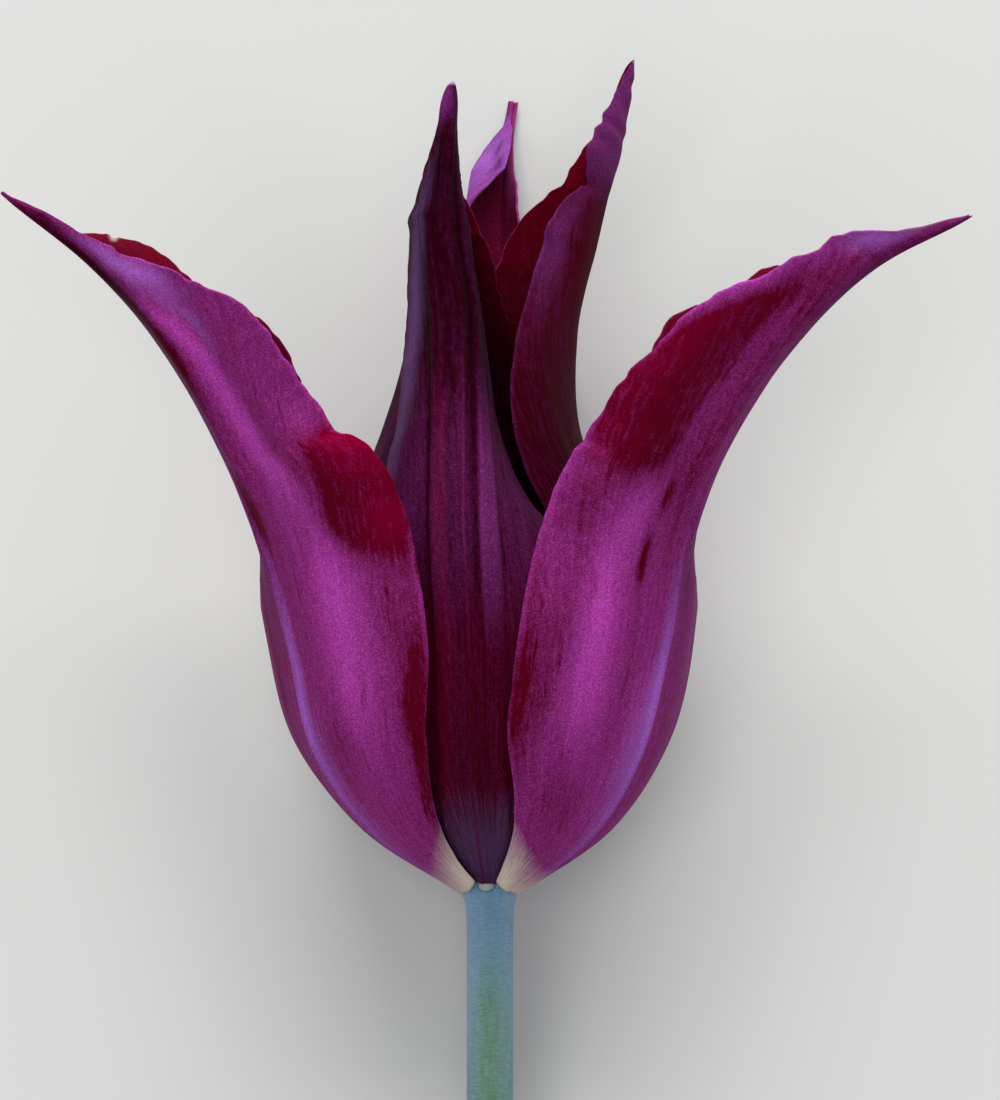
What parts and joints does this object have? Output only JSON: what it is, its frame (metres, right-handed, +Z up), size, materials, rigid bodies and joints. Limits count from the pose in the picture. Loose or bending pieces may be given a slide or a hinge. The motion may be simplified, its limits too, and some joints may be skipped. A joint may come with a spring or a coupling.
{
  "type": "cut tulip flower",
  "caption": "Cut lily-shaped tulip lying on its back: straight leafless stem, pointed petals in two whorls, stamens and a pistil inside.",
  "frame": {"origin": "middle of the flower's footprint, on the surface that it lies on", "axes": "+Y along the flower from the cut end of the stem to the petal tips, +Z up from the surface"},
  "size_m": [0.1126, 0.3026, 0.0695],
  "materials": {
    "stem": "waxy blue-green bloom, matt",
    "outer_petal": "magenta-purple satin with fine lengthwise streaks, cream at the base",
    "inner_petal": "dark purple satin outside, crimson inside",
    "pistil": "pale green, soft",
    "stamen": "purple-black anther on a pale stalk, powdery"
  },
  "bodies": {
    "root": {"stem": "stem", "outer_petal_left": "outer_petal", "outer_petal_right": "outer_petal", "outer_petal_under": "outer_petal", "inner_petal_top": "inner_petal", "inner_petal_right": "inner_petal", "inner_petal_left": "inner_petal", "pistil": "pistil", "stamen_1": "stamen", "stamen_2": "stamen", "stamen_3": "stamen", "stamen_4": "stamen", "stamen_5": "stamen", "stamen_6": "stamen"}
  },
  "joints": []
}
